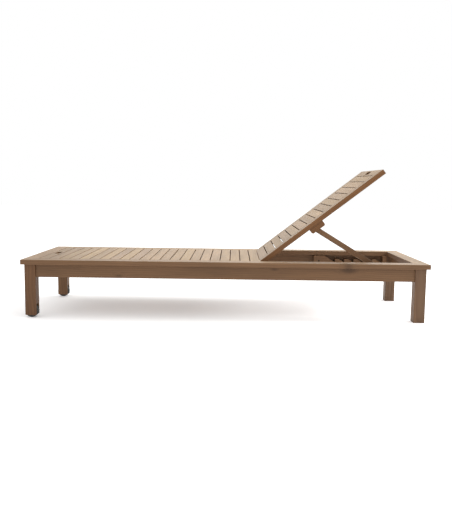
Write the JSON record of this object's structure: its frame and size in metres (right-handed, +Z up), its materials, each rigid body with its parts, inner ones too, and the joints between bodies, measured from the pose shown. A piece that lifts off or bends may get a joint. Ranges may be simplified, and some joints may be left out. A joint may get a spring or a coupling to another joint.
{
  "type": "sun lounger",
  "caption": "Low slatted teak sun lounger with a hinged, propped backrest, two notched racks and small wheels in the foot-end legs.",
  "frame": {"origin": "on the floor, under the middle of the lounger", "axes": "+X to the head end, +Y to the right side, +Z up"},
  "size_m": [2, 0.65, 0.7476],
  "materials": {
    "teak": "sanded and oiled, unvarnished",
    "brass": "plain rolled",
    "steel": "brushed stainless",
    "wheel_rubber": "matt moulded"
  },
  "bodies": {
    "base": {"axle_plugs": "teak", "backrest_rest_blocks": "teak", "deck_grip_slat": "teak", "deck_slat_01": "teak", "deck_slat_02": "teak", "deck_slat_03": "teak", "deck_slat_04": "teak", "deck_slat_05": "teak", "deck_slat_06": "teak", "deck_slat_07": "teak", "deck_slat_08": "teak", "deck_slat_09": "teak", "deck_slat_10": "teak", "deck_slat_11": "teak", "deck_slat_12": "teak", "deck_slat_13": "teak", "deck_slat_14": "teak", "deck_slat_15": "teak", "deck_slat_16": "teak", "deck_slat_17": "teak", "deck_slat_18": "teak", "deck_slat_19": "teak", "deck_slat_20": "teak", "deck_slat_21": "teak", "foot_apron": "teak", "foot_end_rail": "teak", "frame_screws": "steel", "head_apron": "teak", "head_end_rail": "teak", "hinge_cross_rail": "teak", "hinge_fixed_leaves": "brass", "hinge_pins": "brass", "left_foot_leg": "teak", "left_head_leg": "teak", "left_rack": "teak", "left_side_apron": "teak", "left_side_rail": "teak", "left_slat_bearer": "teak", "right_foot_leg": "teak", "right_head_leg": "teak", "right_rack": "teak", "right_side_apron": "teak", "right_side_rail": "teak", "right_slat_bearer": "teak", "wheel_axles": "steel"},
    "backrest": {"backrest_grip_board": "teak", "backrest_slats": "teak", "hinge_moving_leaves": "brass", "hinge_moving_screws": "brass", "left_backrest_stile": "teak", "left_pivot_block": "teak", "prop_pivot_pins": "steel", "right_backrest_stile": "teak", "right_pivot_block": "teak"},
    "prop": {"left_prop_arm": "teak", "prop_foot_rod": "steel", "prop_stretcher": "teak", "right_prop_arm": "teak"},
    "left_wheel": {"left_wheel": "wheel_rubber"},
    "right_wheel": {"right_wheel": "wheel_rubber"}
  },
  "joints": [
    {"name": "backrest_recline", "type": "hinge", "parent": "base", "child": "backrest", "pos_m": [0.175, 0, 0.286], "axis": [0, -1, 0], "range_deg": [-37.7, 21.3]},
    {"name": "prop_swing", "type": "hinge", "parent": "backrest", "child": "prop", "pos_m": [0.44777, 0, 0.45423], "axis": [0, -1, 0], "range_deg": [-38.9, 68.6]},
    {"name": "left_wheel_spin", "type": "hinge", "parent": "base", "child": "left_wheel", "pos_m": [-0.957, -0.284, 0.032], "axis": [0, 1, 0], "continuous": true},
    {"name": "right_wheel_spin", "type": "hinge", "parent": "base", "child": "right_wheel", "pos_m": [-0.957, 0.284, 0.032], "axis": [0, 1, 0], "continuous": true}
  ],
  "couplings": [
    {"joint": "prop_swing", "follows": "backrest_recline", "ratio": -1.812}
  ]
}
